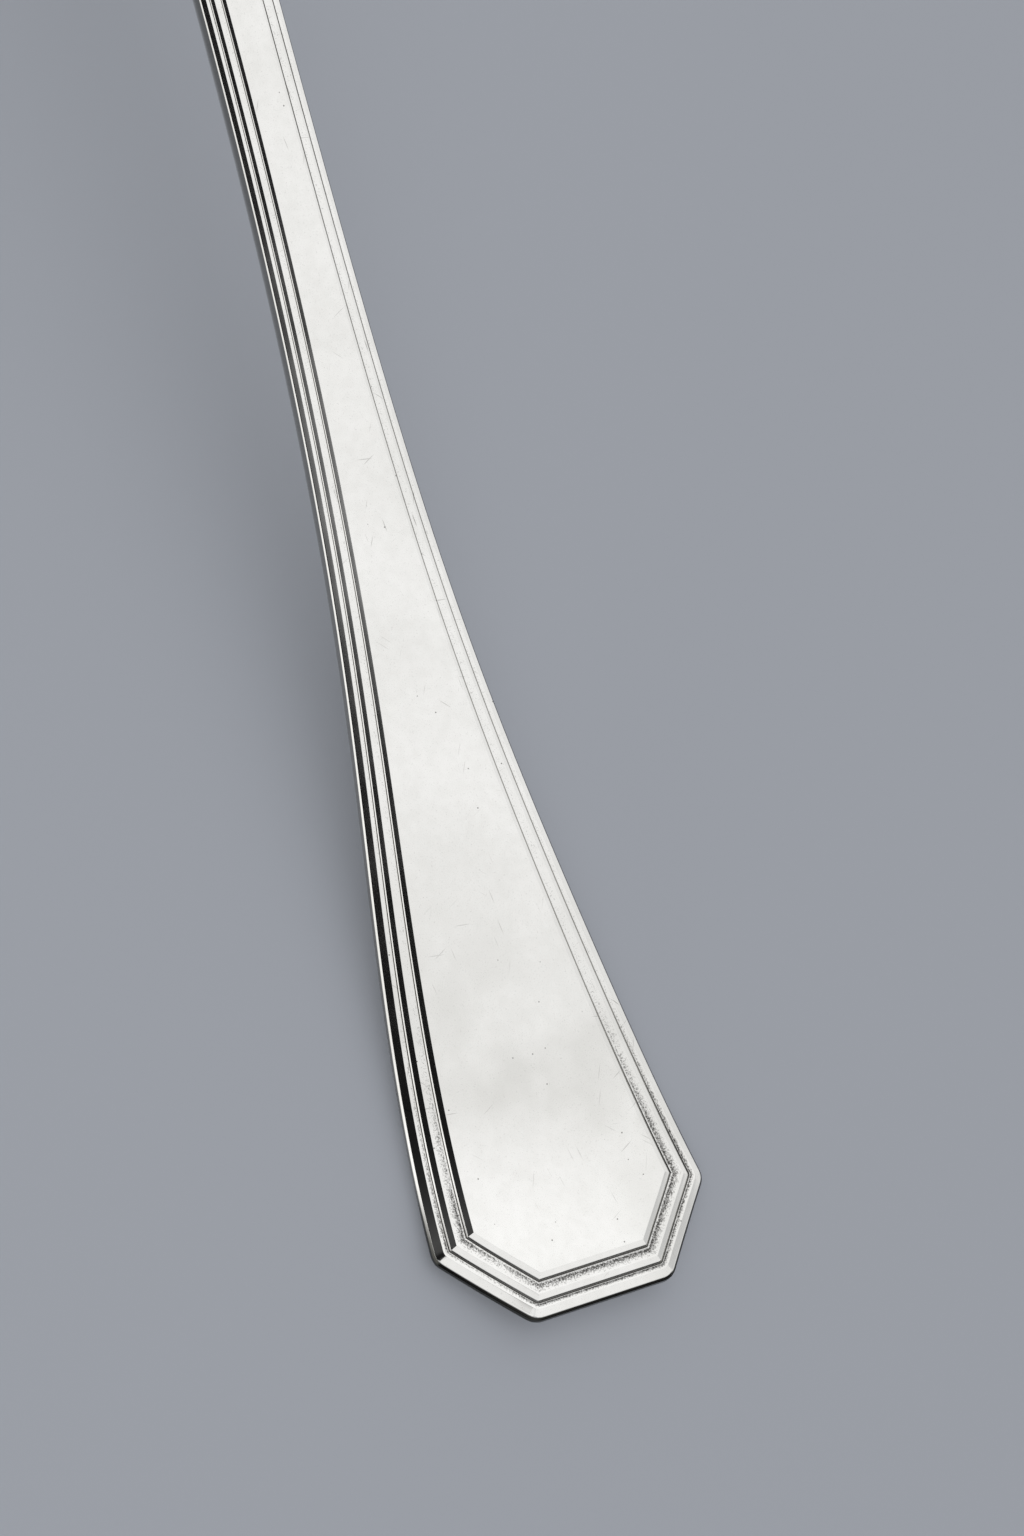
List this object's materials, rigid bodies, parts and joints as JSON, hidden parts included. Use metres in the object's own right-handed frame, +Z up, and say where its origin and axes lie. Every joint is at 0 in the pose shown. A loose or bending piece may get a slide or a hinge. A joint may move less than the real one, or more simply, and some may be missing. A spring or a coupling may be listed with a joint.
{
  "type": "sauce spoon",
  "caption": "Flattened silver-plated sauce spoon with a thin notched bowl edge and a flared handle that ends in chamfers and a stepped border.",
  "frame": {"origin": "centre of the spoon's bounding box, on the table it lies on", "axes": "+X along the spoon towards the handle's end, +Y towards its right with the bowl away from the viewer, +Z up out of the bowl"},
  "size_m": [0.182, 0.041, 0.0179],
  "materials": {
    "handle": "silver plate, hand polished, with fine wear scratches",
    "bowl": "silver plate, bright polished",
    "solder_seam": "hard silver solder, dressed flush and plated over"
  },
  "bodies": {
    "root": {"handle": "handle", "bowl": "bowl", "solder_seam": "solder_seam"}
  },
  "joints": []
}
